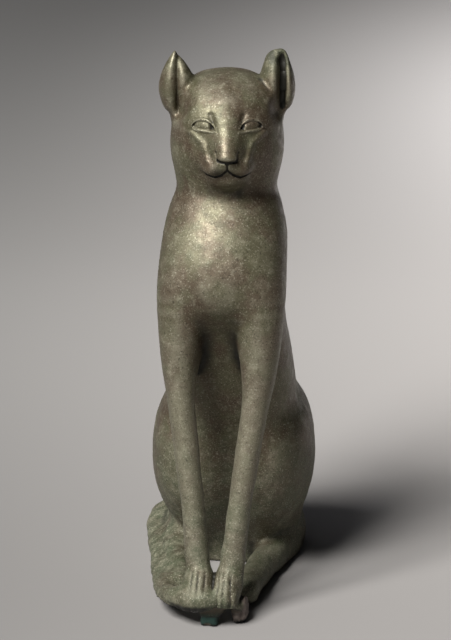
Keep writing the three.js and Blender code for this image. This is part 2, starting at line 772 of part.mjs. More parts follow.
// How much an error of shape matters at a place
function careFor(x, y, z) {
  const [side, v] = toHead(x, y);
  const u = abs(side);
  if (abs(z - EYE.z) < 8 && abs(u - EYE.u) < 12 && v < -10) return 14;
  if (z > 345 && z < 410 && v < -14 && u < 32) return 7;
  if (z > 384 && u > 22) return 1.8;
  if (z < 40 && y < -70) return 2.4;
  if (z < 8) return 3;
  return 1;
}

const wasm = await Module();
wasm.setup();

function solidOf({ points, faces }) {
  const vertProperties = new Float32Array(points.flat());
  return new wasm.Manifold(
    new wasm.Mesh({ numProp: 3, vertProperties, triVerts: new Uint32Array(faces.flat()) }),
  );
}

function boxSolid(width, depth, height, x, y, z) {
  const box = new THREE.BoxGeometry(width, depth, height).translate(x, y, z);
  const corners = [];
  const faces = [];
  const place = box.attributes.position;
  const found = new Map();
  const cornerOf = (i) => {
    const point = [place.getX(i), place.getY(i), place.getZ(i)];
    const key = point.join();
    if (!found.has(key)) {
      found.set(key, corners.length);
      corners.push(point);
    }
    return found.get(key);
  };
  for (let i = 0; i < box.index.count; i += 3)
    faces.push([0, 1, 2].map((k) => cornerOf(box.index.getX(i + k))));
  return solidOf({ points: corners, faces });
}

// Where two walls met in a single point, draws each wall's own corner back to its own side.
function partTouching({ vertProperties, triVerts }) {
  const pointAt = (i) => vertProperties.slice(i * 3, i * 3 + 3);
  const cornersAt = new Map();
  for (let i = 0; i < vertProperties.length / 3; i++) {
    const key = [...pointAt(i)].map((v) => v.toFixed(2)).join();
    cornersAt.set(key, [...(cornersAt.get(key) ?? []), i]);
  }
  for (const corners of cornersAt.values()) {
    if (corners.length < 2) continue;
    for (const corner of corners) {
      const ring = [];
      for (let t = 0; t < triVerts.length; t += 3) {
        const face = [...triVerts.slice(t, t + 3)];
        if (face.includes(corner)) ring.push(...face.filter((v) => v !== corner));
      }
      for (let d = 0; d < 3; d++) {
        const centre = ring.reduce((sum, v) => sum + vertProperties[v * 3 + d], 0) / ring.length;
        vertProperties[corner * 3 + d] = mix(vertProperties[corner * 3 + d], centre, 0.1);
      }
    }
  }
}

function geometryOf(solid) {
  const mesh = solid.getMesh();
  partTouching(mesh);
  const geometry = new THREE.BufferGeometry();
  geometry.setAttribute("position", new THREE.BufferAttribute(mesh.vertProperties, 3));
  geometry.setIndex(new THREE.BufferAttribute(mesh.triVerts, 1));
  geometry.computeVertexNormals();
  return geometry;
}

let outside = surfaceNet(skin, [-90, -118, -20], [80, 168, 456], GRID);
outside.points.forEach((p) => settle(skin, p));
outside = refine(outside, skin, wantedLength);
outside = thin(outside, SKIN_TRIANGLES, careFor);
outside.points.forEach((p) => settle(skin, p, 2, 0.6));

let inside = surfaceNet(hollow, [-80, -90, -36], [80, 152, 440], CAVITY_GRID);
inside.points.forEach((p) => settle(hollow, p));
inside = thin(inside, CAVITY_TRIANGLES, () => 1);
inside.points.forEach((p) => settle(hollow, p, 1, 0.8));

const below = boxSolid(400, 500, GROUND_CUT, 0, 0, -GROUND_CUT / 2);
const casting = solidOf(outside).subtract(solidOf(inside)).subtract(below);

const bronze = new THREE.MeshStandardMaterial(FINISH);
const box = casting.boundingBox();
const toMiddle = [0, 1].map((d) => -(box.min[d] + box.max[d]) / 2);
const cat = new THREE.Mesh(geometryOf(casting.translate(...toMiddle, 0)), bronze);
cat.name = "cat_coffin";

const group = new THREE.Group();
group.add(cat);

export default group;
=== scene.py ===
# %% [markdown]
# # A cat coffin of cast bronze
#
# The real object is a seated cat, cast hollow in bronze and open underneath, that once held
# the mummy of a cat. The CAD part is the plain casting. Here it gets what a founder and two
# thousand years gave it: crisp eyes, mouth and toes, a pitted skin, a brown and green patina.
# The camera stands where the photographer stood, under soft light from the upper left.

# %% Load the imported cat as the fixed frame
import math

import bmesh
import bpy
import numpy as np
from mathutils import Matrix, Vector, noise


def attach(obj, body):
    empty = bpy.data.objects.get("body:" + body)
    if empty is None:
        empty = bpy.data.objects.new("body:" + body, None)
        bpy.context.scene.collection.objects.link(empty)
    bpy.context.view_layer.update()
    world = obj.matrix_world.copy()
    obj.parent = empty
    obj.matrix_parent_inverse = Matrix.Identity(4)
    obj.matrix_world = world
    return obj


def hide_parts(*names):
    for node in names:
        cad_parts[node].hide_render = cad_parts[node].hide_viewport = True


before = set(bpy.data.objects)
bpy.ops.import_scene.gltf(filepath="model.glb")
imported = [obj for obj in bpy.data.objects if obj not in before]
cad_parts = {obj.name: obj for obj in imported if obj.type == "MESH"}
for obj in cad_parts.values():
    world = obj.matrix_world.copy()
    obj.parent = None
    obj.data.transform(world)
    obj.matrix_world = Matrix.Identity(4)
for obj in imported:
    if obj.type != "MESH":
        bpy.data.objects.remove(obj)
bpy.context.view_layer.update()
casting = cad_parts["cat_coffin"]

# %% [markdown]
# ## Where the camera stands
#
# The photo was taken from the front, a little above the cat and a little to its left. The far
# edges of the ears and the floor between the paws fix the angle. A long lens keeps the sides
# nearly parallel, so the lens is long here too, and it stands 2.2 m away. Millimetres are used
# for the cat's own sizes and metres for Blender, so one number turns one into the other.

# %% Set up the camera
MM = 0.001
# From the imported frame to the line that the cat's sizes are measured from
MIDDLE = np.array([-5.387, 22.032, 0.0])
CAMERA_TURN = math.radians(6.5)
CAMERA_RISE = math.radians(17)
CAMERA_AWAY = 2200
AIM_HEIGHT = 225
FOCAL_PIXELS = 2750
PHOTO_HEIGHT = 640

back = Vector((
    math.sin(CAMERA_TURN) * math.cos(CAMERA_RISE),
    -math.cos(CAMERA_TURN) * math.cos(CAMERA_RISE),
    math.sin(CAMERA_RISE),
))
aim = (Vector((0, 0, AIM_HEIGHT)) - Vector(MIDDLE)) * MM
camera = bpy.data.objects.new("camera", bpy.data.cameras.new("camera"))
camera.data.sensor_width = 36
camera.data.lens = camera.data.sensor_width * FOCAL_PIXELS / PHOTO_HEIGHT
camera.location = aim + back * CAMERA_AWAY * MM
camera.rotation_mode = "QUATERNION"
camera.rotation_quaternion = (-back).to_track_quat("-Z", "Y")
bpy.context.scene.collection.objects.link(camera)
bpy.context.scene.camera = camera
print("camera at", [round(v, 3) for v in camera.location], "lens", round(camera.data.lens, 1))

# %% [markdown]
# ## The cat's form as a function
#
# A cat's body has no flat faces and no axis, so it isn't spun or extruded. The casting is
# described by a function that is negative inside the metal: ovals and round limbs, joined with
# soft fillets. The plain CAD skin is then moved onto a finer version of that function.
# These are the tools for writing it. Every one of them works on all points at once.

# %% Tools for soft forms
def smooth(start, end, value):
    t = np.clip((value - start) / (end - start), 0, 1)
    return t * t * (3 - 2 * t)


def bump(distance, width):
    return np.exp(-((distance / width) ** 2))


def join(a, b, soft):
    h = np.maximum(soft - np.abs(a - b), 0) / soft
    return np.minimum(a, b) - h * h * soft / 4


def cut(a, b, soft):
    return -join(-a, b, soft)


def both(a, b, soft):
    return -join(-a, -b, soft)


def ellipsoid(p, centre, radii):
    d = (p - np.array(centre)) / np.array(radii)
    q = np.sqrt((d * d).sum(1))
    slope = np.sqrt(((d / np.array(radii)) ** 2).sum(1)) + 1e-9
    return q * (q - 1) / slope


def square_ellipsoid(p, centre, radii, power):
    d = p - np.array(centre)
    q = (np.abs(d / np.array(radii)) ** power).sum(1) ** (1 / power)
    return np.sqrt((d * d).sum(1)) * (1 - 1 / np.maximum(q, 1e-6))


def mirrored(p):
    return np.column_stack([np.abs(p[:, 0]), p[:, 1], p[:, 2]])

# %% [markdown]
# A limb is a round rod along a smooth curve through a few stations. A trunk or an ear is a
# column of ovals, with its sizes given at a few heights. Both are drawn through the stations
# with the same kind of smooth curve that Blender's own splines use.

# %% Tools for limbs and columns
def smooth_route(stations, cuts=4):
    s = np.array(stations, float)
    padded = np.vstack([s[0], s, s[-1]])
    points = []
    for a, b, c, d in zip(padded, padded[1:], padded[2:], padded[3:]):
        for k in range(cuts):
            t = k / cuts
            bend = (2 * a - 5 * b + 4 * c - d) * t**2 + (3 * b - a - 3 * c + d) * t**3
            points.append(0.5 * (2 * b + (c - a) * t + bend))
    return np.array([*points, s[-1]])


def limb(p, route):
    nearest = np.full(len(p), 1e9)
    for a, b in zip(route, route[1:]):
        step = b[:3] - a[:3]
        t = np.clip(((p - a[:3]) @ step) / (step @ step), 0, 1)
        away = p - a[:3] - t[:, None] * step
        reach = a[3] + (b[3] - a[3]) * t
        nearest = np.minimum(nearest, np.sqrt((away * away).sum(1)) - reach)
    return nearest


def column(stations):
    """Sizes at any height, from rows of height and sizes."""
    s = np.array(stations, float)
    heights = np.arange(s[0, 0], s[-1, 0] + 1)
    table = []
    for height in heights:
        i = min(max(np.searchsorted(s[:, 0], height) - 1, 0), len(s) - 2)
        at = lambda k: s[min(max(k, 0), len(s) - 1)]
        span = at(i + 1)[0] - at(i)[0]
        slope = lambda k: (at(k + 1) - at(k - 1)) / (at(k + 1)[0] - at(k - 1)[0]) * span
        t = (height - at(i)[0]) / span
        table.append(
            at(i) * (2 * t**3 - 3 * t**2 + 1) + slope(i) * (t**3 - 2 * t**2 + t)
            + at(i + 1) * (3 * t**2 - 2 * t**3) + slope(i + 1) * (t**3 - t**2)
        )
    table = np.array(table)
    return lambda z: [np.interp(z, heights, table[:, k]) for k in range(1, s.shape[1])]

# %% [markdown]
# ## Trunk and haunches
#
# The trunk leans back from the chest to the rump. Its width at each height was read from the
# photo's outline, and its depth comes from seated cats of this kind, since no side view shows
# it. The haunches bulge out low down, and a shallow valley runs between them in front.

# %% The trunk and the haunches
SQUARENESS = 2.25  # 2 is a plain ellipse
TRUNK_TOP = 368
MIDLINE = 9
# Height, front, widest and back line, and half width
TRUNK = column([
    [-30, 46, 84, 124, 53],
    [0, 42, 84, 130, 54],
    [40, 36, 80, 137, 55],
    [80, 20, 70, 135, 54],
    [120, 3, 58, 124, 53],
    [160, -12, 44, 107, 52.5],
    [200, -27, 26, 87, 49],
    [222, -38, 10, 75, 47],
    [237, -48.5, 3, 67, 46.6],
    [250, -57.5, -4, 61, 47.4],
    [264, -61, -7, 56, 48.6],
    [280, -58.5, -7, 52, 49.4],
    [300, -50, -2, 49, 48.6],
    [318, -38, 5, 48, 44.6],
    [334, -29, 10, 50, 39.4],
    [350, -24, 14, 53, 37.6],
    [380, -20, 14, 50, 33],
])


def trunk(p):
    x, y, z = p.T
    front, widest, back_line, half = TRUNK(z)
    depth = np.where(y < widest, widest - front, back_line - widest)
    u = np.abs(x) / half
    v = np.abs(y - widest) / depth
    q = (u**SQUARENESS + v**SQUARENESS) ** (1 / SQUARENESS)
    side = np.sqrt(x * x + (y - widest) ** 2) * (1 - 1 / np.maximum(q, 1e-6))
    return both(side, z - TRUNK_TOP, 10)


def haunch(p):
    x, y, z = p.T
    u = np.sqrt(x * x + MIDLINE**2)
    hip = np.column_stack([u, y, z - 0.08 * (y - 60)])
    low = np.column_stack([u, y, z])
    upper = square_ellipsoid(hip, (29, 60, 103), (38, 58, 54), SQUARENESS)
    return join(upper, ellipsoid(low, (26, 68, 73), (37.4, 55, 55)), 16)


probe = np.array([[0.0, 0.0, 250.0], [300.0, 0.0, 250.0]])
print("trunk inside and outside:", trunk(probe).round(1))

# %% [markdown]
# ## Legs, feet and tail
#
# The forelegs come together in two narrow paws that hang a little above the ground. The hind
# feet lie flat and long beside them, and the tail is wound along the cat's right side. The toes
# are four slim ovals side by side, with a groove chased between them.

# %% The limbs and their toes
PAW_X = 11.4
LEFT_PAW_IN = 2.4  # the left paw stands this much nearer the middle than the right one
TOE_PITCH = 5.2
SOLE_Z = 14
FORELEG = smooth_route([
    [22, -12, 300, 12],
    [29.6, -33, 262, 17],
    [32.2, -42, 225, 12.8],
    [30, -49.5, 178, 10.8],
    [24.6, -57.5, 136, 10],
    [18.8, -65, 93, 9.2],
    [14.6, -72, 52, 9.6],
    [12.4, -76.5, 34, 10.4],
])
HIND_FOOT_LEFT = smooth_route([
    [40.6, 98, 13, 16],
    [40.4, 68, 11, 13.6],
    [36, 40, 11, 12.6],
    [30.2, 17, 11, 12],
    [26.4, -4, 11, 11.8],
    [22.4, -28, 11.4, 11.4],
    [20, -45, 11.6, 11],
])
HIND_FOOT_RIGHT = smooth_route([
    [-41, 98, 13, 17],
    [-43, 66, 14, 16],
    [-43, 40, 15, 14.6],
    [-41, 17, 14, 13.2],
    [-38.5, -4, 13.5, 12.4],
    [-35.5, -26, 13, 11.8],
    [-33.5, -44, 13, 11],
])
TAIL = smooth_route([
    [14, 118, 26, 12],
    [-12, 132, 19, 13.5],
    [-43, 134, 14, 13],
    [-62, 118, 13, 12],
    [-67.5, 98, 12, 11],
    [-64, 64, 10, 9.4],
    [-57.5, 22, 9, 7.6],
    [-50.5, -22, 10, 7],
    [-44.5, -50, 13, 7],
    [-36, -76, 18, 7.2],
    [-22, -93, 22, 7.4],
    [-8, -97, 23, 7.2],
    [-3.5, -96.5, 23, 6.6],
])


def forepaw(p):
    u, y, z = p.T
    instep = ellipsoid(p, (PAW_X, -82, 29), (11.8, 15, 14))
    form = join(instep, ellipsoid(p, (PAW_X, -88, 23), (11.4, 12.5, 9.6)), 6)
    for side in (-1.5, -0.5, 0.5, 1.5):
        toe = (PAW_X + side * TOE_PITCH, -92 + abs(side) * 1.6, 22.5)
        form = join(form, ellipsoid(p, toe, (3.6, 9, 8.6)), 1.4)
    groove = np.minimum(np.abs(u - PAW_X), np.abs(np.abs(u - PAW_X) - TOE_PITCH))
    form = form + 1.2 * bump(groove, 0.8) * smooth(-80, -88, y)
    return both(form, SOLE_Z - z, 3)


def hind_toes(p, cx, cy, turn):
    c, s = math.cos(turn), math.sin(turn)
    u = c * (p[:, 0] - cx) + s * (p[:, 1] - cy)
    v = -s * (p[:, 0] - cx) + c * (p[:, 1] - cy)
    local = np.column_stack([u, v, p[:, 2]])
    form = np.full(len(p), 1e9)
    for side in (-1, 0, 1):
        toe = ellipsoid(local, (side * 6.4, abs(side) * 1.5, 10), (4.4, 12, 9))
        form = join(form, toe, 1.4)
    return form


def forequarters(p):
    q = mirrored(p)
    paw = q.copy()
    paw[:, 0] += LEFT_PAW_IN * smooth(0, 9, p[:, 0])
    leg = join(limb(q, FORELEG), forepaw(paw), 7)
    shoulder = ellipsoid(q, (29.5, -24, 246), (18.5, 28, 54))
    elbow = ellipsoid(q, (31.6, -33, 202), (10.6, 15, 34))
    return join(leg, join(shoulder, elbow, 14), 14)

# %% [markdown]
# Broken metal shows under the forepaws: a ragged rim that hangs a finger's width over the
# ground, a short tang, green-black, that once went into a base, and a jagged lump beside the
# cat's left paw. They stay as they are. The rim is no more than a few millimetres of metal
# under the casting's plain sole.

# %% Hind feet, tail and the broken metal under the paws
RIM = smooth_route([
    [-43, -62, 9, 7.5],
    [-34, -79, 13, 7],
    [-20, -90, 15.5, 6.5],
    [-6, -95, 16, 6],
    [6, -94, 16, 6],
    [15, -91, 16, 5.6],
    [20, -85, 15, 5],
])
UPRIGHT = 3
FOOT_LIFT = 3.5


def ground_parts(p):
    x, y, z = p.T
    flat = p.copy()
    flat[:, 2] = both(z, np.full(len(p), UPRIGHT, float), 4)
    left = join(limb(flat, HIND_FOOT_LEFT), hind_toes(p, 19.5, -46, math.radians(-6)), 6)
    right = join(limb(flat, HIND_FOOT_RIGHT), hind_toes(p, -33.5, -45, math.radians(8)), 6)
    feet = np.maximum(join(left, right, 1), FOOT_LIFT * smooth(60, -60, y) - z)
    return feet, limb(flat, TAIL)


def tang_and_lump(p):
    tang = square_ellipsoid(p, (-2.5, -90, 8), (6.6, 5.6, 15), 3.4)
    tang = join(tang, ellipsoid(p, (3, -88, 13), (6, 6, 7)), 4)
    lump = square_ellipsoid(p, (22.6, -80, 10.5), (4.6, 7, 9.6), 3.2)
    return tang, join(lump, ellipsoid(p, (19, -85, 9), (3.6, 5, 8.4)), 2)


def broken_metal(p):
    tang, lump = tang_and_lump(p)
    return join(join(tang, lump, 2), limb(p, RIM), 3)

# %% [markdown]
# ## Head and ears
#
# The head is turned a few degrees to the cat's left, so it gets a frame of its own: u runs to
# the cat's left and v to the back. Each ear is a tall leaf, hollowed from the front by a wedge
# that leaves a bright inner flank, a channel and an outer lobe with a round bottom. The channel
# is deep and narrow in the cat's left ear and soft in the right one. The left ear has lost its
# point, and it stays blunt.

# %% The ears
HEAD_YAW = math.radians(6.5)
HEAD_PIVOT_Y = 12
EAR_FOOT, EAR_TOP = 387, 444
# Height, inner and outer edge from the head's middle, front and back
RIGHT_EAR = column([
    [384, 30, 42, 8, 24],
    [391, 28, 45, 2, 27],
    [397, 27, 50, -2, 29],
    [405, 26, 52.8, -4, 30],
    [412, 25, 53.9, -5, 30],
    [420, 26, 52.6, -5, 27],
    [429, 30.6, 49.6, -3, 21],
    [436, 35, 45.8, 0, 15],
    [444, 39.4, 41.6, 4, 8],
])
LEFT_EAR = column([
    [384, 30, 42, 8, 24],
    [391, 28, 45, 2, 27],
    [397, 26, 50, -2, 29],
    [405, 25, 52.6, -4, 30],
    [412, 24.4, 53.4, -5, 30],
    [420, 25, 52.6, -5, 27],
    [429, 27.4, 50.4, -3, 22],
    [438, 30.6, 47.4, 1, 16],
    [444, 36, 44.6, 4, 10],
])


def to_head(p):
    x, w = p[:, 0], p[:, 1] - HEAD_PIVOT_Y
    c, s = math.cos(HEAD_YAW), math.sin(HEAD_YAW)
    return np.column_stack([c * x + s * w, HEAD_PIVOT_Y - s * x + c * w, p[:, 2]])


def ear_leaf(h, sizes):
    u, v, z = h.T
    inner, outer, front, back_edge = sizes(z)
    a = (u - (inner + outer) / 2) / (outer - inner) * 2
    b = (v - (front + back_edge) / 2) / (back_edge - front) * 2
    q = np.sqrt(a * a + b * b)
    across = np.sqrt((u - (inner + outer) / 2) ** 2 + (v - (front + back_edge) / 2) ** 2)
    side = across * (1 - 1 / np.maximum(q, 1e-6))
    return both(side, np.maximum(z - EAR_TOP, EAR_FOOT - z), 3)


def ear_wedge(h, channel, depth):
    u, v, z = h.T
    rise = (z - 412) / 27
    a = u - channel
    b = v - depth + 3 * rise - 6 * rise * rise
    walls = both(b * 0.4 - a * 0.92, a * 0.97 + b * 0.24, 2)
    d = (h - np.column_stack([channel - 2, 0 * u - 4, 0 * u + 418])) / (12, 22, 26)
    q = np.sqrt((d * d).sum(1))
    reach = q * (q - 1) / (np.sqrt(((d / (12, 22, 26)) ** 2).sum(1)) + 1e-9)
    return both(walls, reach, 6)

# %% [markdown]
# ## The face
#
# The carving of the face is low: eyelids raised by less than a millimetre, a line for the
# mouth, creases where the brows meet the nose. On the real casting it was cut in the wax and
# sharpened in the metal. Here it is a height over the plain head, drawn from the front: each
# line runs through a few points, and each point's place was read from the photo.

# %% Height of the face's carving
EYE_U, EYE_Z = 18.6, 391.8
LINES = {
    # depth or height in mm, width in mm, points as u and z
    "outer corner": (-0.8, 0.8, [(25.6, 390), (30.2, 387.2)]),
    "brow crease": (-1.5, 2.3, [(12.6, 399), (11.2, 395), (11.4, 391)]),
    "cheek ridge": (1.3, 2.6, [(28.8, 385.6), (19.5, 378.5), (16.4, 367)]),
    "mouth": (-1.9, 1.0, [(0, 359.8), (4.5, 355.4), (10, 353.2), (17, 354.8)]),
    "philtrum": (-1.5, 0.9, [(0, 366), (0, 359.8)]),
    "nose wing": (-0.9, 1.2, [(8.6, 374), (7.8, 369)]),
    "under the nose": (-1.9, 1.3, [(0, 366.6), (6.6, 367.4)]),
    "whisker pad": (0.8, 4.2, [(6, 359.6), (12, 359)]),
}


def to_line(u, z, points):
    nearest = np.full(len(u), 1e9)
    for (au, az), (bu, bz) in zip(points, points[1:]):
        du, dz = bu - au, bz - az
        t = np.clip(((u - au) * du + (z - az) * dz) / (du * du + dz * dz), 0, 1)
        nearest = np.minimum(nearest, np.hypot(u - au - du * t, z - az - dz * t))
    return nearest


def face_relief(u, z):
    a = u - EYE_U
    middle = EYE_Z - 0.018 * a * a - 0.010 * np.minimum(a, 0) ** 2
    open_half = 3.9 * np.maximum(1 - (a / 8.9) ** 2, 0) ** 0.7
    over = z - middle
    d = np.abs(over) * np.where(over > 0, 1, 1.12) - open_half
    near = (np.abs(a) < 12) & (np.abs(over) < 9)
    ball = np.sqrt(np.maximum(1 - (a / 6.6) ** 2 - (over / 4.4) ** 2, 0))
    socket = -1.5 * smooth(0.2, -1.0, d) + 1.8 * ball
    lid = 0.7 * bump(d - 1.0, 0.9) * smooth(11, 8.4, np.abs(a))
    height = np.where(near, socket + lid, 0)
    for depth, width, points in LINES.values():
        height = height + depth * bump(to_line(u, z, points), width)
    return height


sample_u = np.array([EYE_U, 0.0, 10.0])
sample_z = np.array([EYE_Z, 363.0, 353.8])
print("eyeball, philtrum and mouth in mm:", face_relief(sample_u, sample_z).round(2))

# %% The whole head
BRIDGE = np.array([[0, -20, 401, 9], [0, -31.5, 389, 9], [0, -46, 373, 7]], float)


def head(p):
    h = to_head(p)
    side = h[:, 0]
    m = mirrored(h)
    u, v, z = m.T
    form = square_ellipsoid(m, (0, 14, 382), (43.6, 46, 44), 2.4)
    form = join(form, ellipsoid(m, (0, 6, 362), (38.8, 36, 29)), 16)
    form = join(form, ellipsoid(m, (0, -9, 385), (31, 29, 22)), 12)
    form = join(form, ellipsoid(m, (0, -22, 364.6), (18, 28.5, 14)), 8)
    form = join(form, ellipsoid(m, (0, -24, 375), (19, 22, 12)), 7)
    form = join(form, limb(m, BRIDGE), 9)
    form = join(form, ellipsoid(m, (15, -18, 367), (13.6, 17, 14)), 8)
    form = join(form, ellipsoid(m, (9.4, -35.6, 360.4), (10.2, 12, 8.8)), 4)
    form = join(form, ellipsoid(m, (0, -29.5, 350.4), (15.5, 13.5, 8.6)), 5)
    form = join(form, ellipsoid(m, (0, -49, 370), (8.2, 6.6, 4.6)), 2)
    form = form - face_relief(u, z) * smooth(-8, -18, v) * (u < 36)
    leaf = np.where(side > 0, ear_leaf(m, LEFT_EAR), ear_leaf(m, RIGHT_EAR))
    with_ear = join(form, leaf, 5)
    edge = np.where(side > 0, 9 - 5.8 * smooth(394, 410, z), 8)
    channel, depth = np.where(side > 0, 44.2, 39.0), np.where(side > 0, 11.0, 2.6)
    with_ear = cut(with_ear, ear_wedge(m, channel, depth), edge)
    return np.where((z > 376) & (u > 18), with_ear, form)

# %% [markdown]
# ## The whole skin
#
# Each part only matters near its own place, so the legs are worked out only for points low
# enough to touch them. That keeps the function quick for a hundred thousand points.

# %% Put the parts together
def skin(p):
    form = trunk(p)
    z = p[:, 2]

    def add(where, part, soft):
        form[where] = join(form[where], part, soft)

    low = z < 200
    add(low, haunch(p[low]), 20 - 11 * smooth(20, 46, np.abs(p[low, 0])))
    fore = z < 330
    add(fore, forequarters(p[fore]), 10)
    up = z > 306
    add(up, head(p[up]), 15)
    ground = z < 60
    g = p[ground]
    feet, tail = ground_parts(g)
    add(ground, feet, np.where(g[:, 0] > 0, 11.0, 14.0))
    add(ground, tail, 9.0)
    add(ground, broken_metal(g), 2)
    return form


STEP = 0.12


def settle(points, rounds, reach):
    """Moves points along the form's slope until they lie on its skin."""
    p = points.copy()
    for _ in range(rounds):
        f = skin(p)
        slope = np.column_stack([skin(p + STEP * axis) - f for axis in np.eye(3)]) / STEP
        steep = np.maximum(np.linalg.norm(slope, axis=1), 1e-6)
        step = np.clip(f / np.clip(steep, 0.5, 1.5), -reach, reach)
        p -= slope / steep[:, None] * step[:, None]
    return p

# %% [markdown]
# ## A fine skin over the casting
#
# The casting's facets are a few millimetres long, too coarse for eyelids. A copy is remeshed
# into even squares of 2.5 mm, because a sculptor's voxel remesh also keeps the hollow inside
# and its open foot. Then the face, ears, paws and the corroded tail are subdivided, where the
# detail is fine.

# %% Remesh a copy of the casting
VOXEL = 2.5


def copy_mesh(source, name):
    bm = bmesh.new()
    bm.from_mesh(source.data)
    bmesh.ops.remove_doubles(bm, verts=bm.verts, dist=1e-6)
    mesh = bpy.data.meshes.new(name)
    bm.to_mesh(mesh)
    bm.free()
    return mesh


cat = bpy.data.objects.new("cast_cat", copy_mesh(casting, "cast_cat"))
bpy.context.scene.collection.objects.link(cat)
remesh = cat.modifiers.new("even_squares", "REMESH")
remesh.mode = "VOXEL"
remesh.voxel_size = VOXEL * MM


def apply_modifiers(target):
    bpy.context.view_layer.update()
    evaluated = target.evaluated_get(bpy.context.evaluated_depsgraph_get())
    target.data = bpy.data.meshes.new_from_object(evaluated)
    target.modifiers.clear()


apply_modifiers(cat)
print("even squares:", len(cat.data.polygons))

# %% [markdown]
# The inner wall is hardly seen, so most of its squares are thinned out. A group of points
# tells the decimate modifier where to work, and the outside keeps its even squares.

# %% Thin out the inner wall
TAKEN_OUT = 0.86  # share of the inner wall's faces


def points_of(mesh):
    co = np.empty(len(mesh.vertices) * 3, np.float32)
    mesh.vertices.foreach_get("co", co)
    return co.reshape(-1, 3).astype(float) / MM + MIDDLE


inner_wall = np.flatnonzero(skin(points_of(cat.data)) < -3.4)
group = cat.vertex_groups.new(name="inner_wall")
group.add(inner_wall.tolist(), 1.0, "REPLACE")
thinning = cat.modifiers.new("thin_inside", "DECIMATE")
thinning.vertex_group = group.name
thinning.ratio = 1 - TAKEN_OUT * len(inner_wall) / len(cat.data.vertices)
apply_modifiers(cat)
cat.vertex_groups.clear()
print("inner points were", len(inner_wall), "faces are now", len(cat.data.polygons))

# %% Subdivide where the carving is fine

def put_points(mesh, p):
    mesh.vertices.foreach_set("co", ((p - MIDDLE) * MM).astype(np.float32).ravel())
    mesh.update()


def subdivide(mesh, wanted):
    """Cuts every edge in half whose two ends are wanted finer."""
    bm = bmesh.new()
    bm.from_mesh(mesh)
    edges = [e for e in bm.edges if wanted[e.verts[0].index] and wanted[e.verts[1].index]]
    bmesh.ops.subdivide_edges(bm, edges=edges, cuts=1, use_grid_fill=True)
    bm.to_mesh(mesh)
    bm.free()
    mesh.update()


def on_face(p, margin):
    u, v, z = mirrored(to_head(p)).T
    return (v < -12 + margin) & (u < 31 + margin) & (z > 347 - margin) & (z < 405 + margin)


def on_ears_or_paws(p):
    u, v, z = mirrored(to_head(p)).T
    return ((z > 388) & (u > 22)) | ((p[:, 2] < 44) & (p[:, 1] < -60))


def on_tail_side(p, margin):
    """The right hind foot and the tail beside it, where the bronze is most eaten."""
    x, y, z = p.T
    return (x < -22 + margin) & (y < 62 + margin) & (z < 60 + margin)


points = points_of(cat.data)
outside = skin(points) > -2.2
fine = on_face(points, 3) | on_ears_or_paws(points) | on_tail_side(points, 0)
subdivide(cat.data, outside & fine)
points = points_of(cat.data)
subdivide(cat.data, (skin(points) > -2.2) & on_face(points, 0))
print("after subdividing:", len(cat.data.polygons), "faces")

# %% [markdown]
# ## Onto the form
#
# Every outside point now slides onto the fine form. In between, each point is drawn towards
# the middle of its neighbours, which evens the mesh out as a potter's rib evens clay. The
# points of the foot stay in the ground plane, and the inner wall stays as the CAD made it.

# %% Slide the skin onto the form
def edges_of(mesh):
    pairs = np.empty(len(mesh.edges) * 2, np.int64)
    mesh.edges.foreach_get("vertices", pairs)
    return pairs.reshape(-1, 2)


def neighbour_mean(values, pairs):
    n = len(values)
    count = np.bincount(pairs.ravel(), minlength=n)
    out = np.empty_like(values)
    for k in range(values.shape[1]):
        total = np.bincount(pairs[:, 0], values[pairs[:, 1], k], n)
        total += np.bincount(pairs[:, 1], values[pairs[:, 0], k], n)
        out[:, k] = total / np.maximum(count, 1)
    return out


def normals_of(mesh):
    n = np.empty(len(mesh.vertices) * 3, np.float32)
    mesh.vertex_normals.foreach_get("vector", n)
    return n.reshape(-1, 3).astype(float)


points = points_of(cat.data)
pairs = edges_of(cat.data)
depth = skin(points)
sole = (points[:, 2] < 0.9) & (normals_of(cat.data)[:, 2] < -0.5)
inside = (depth < -2.2) & ~sole
free = ~inside & ~sole
for _ in range(3):
    points[free] = settle(points[free], 1, 1.5)
    even_out = neighbour_mean(points, pairs)
    points[free] += 0.5 * (even_out - points)[free]
points[free] = settle(points[free], 3, 1.0)
points[sole, 2] = 0
points[:, 2] = np.maximum(points[:, 2], 0)
put_points(cat.data, points)
print("outside, inside and foot points:", free.sum(), inside.sum(), sole.sum())

# %% [markdown]
# ## Where the metal is worn and where it is eaten
#
# Three weights tell the surface apart. The dark one is painted shade in creases, where little
# light reaches, and on the faces that turn down under the forepaws, where the ground lies in
# shadow; it also holds the dirt in the creases and the dark stains of the broken ear tip and
# the muzzle. `worn` is high on ridges that hands rubbed. `crust` is high where the bronze is
# corroded: the foot, the tail, the ear tip and a patch on the muzzle. They shape the skin and
# its colours. Two more mark the green-black tang and the purple-brown lump beside the left paw.

# %% Measure creases and ridges, and place the corrosion
def even(values, rounds):
    v = values.reshape(-1, 1).copy()
    for _ in range(rounds):
        v = 0.5 * v + 0.5 * neighbour_mean(v, pairs)
    return v.ravel()


def fractal(p, size, octaves=4, seed=0):
    """Blender's own noise at each point, for lumps about `size` mm long."""
    shift = Vector((seed * 17.3, seed * 5.1, seed * 9.7))
    return np.array([
        noise.fractal(Vector(q) / size + shift, 0.9, 2.0, octaves) for q in p
    ])


normals = normals_of(cat.data)
rise = ((neighbour_mean(points, pairs) - points) * normals).sum(1)
crease = even(np.clip(rise, -0.6, 0.6), 2)
# Painted shade in the creases, where little light reaches, together with the dirt that lies
# there
hollow = smooth(0.01, 0.16, crease)
worn = smooth(0.005, 0.10, -crease)

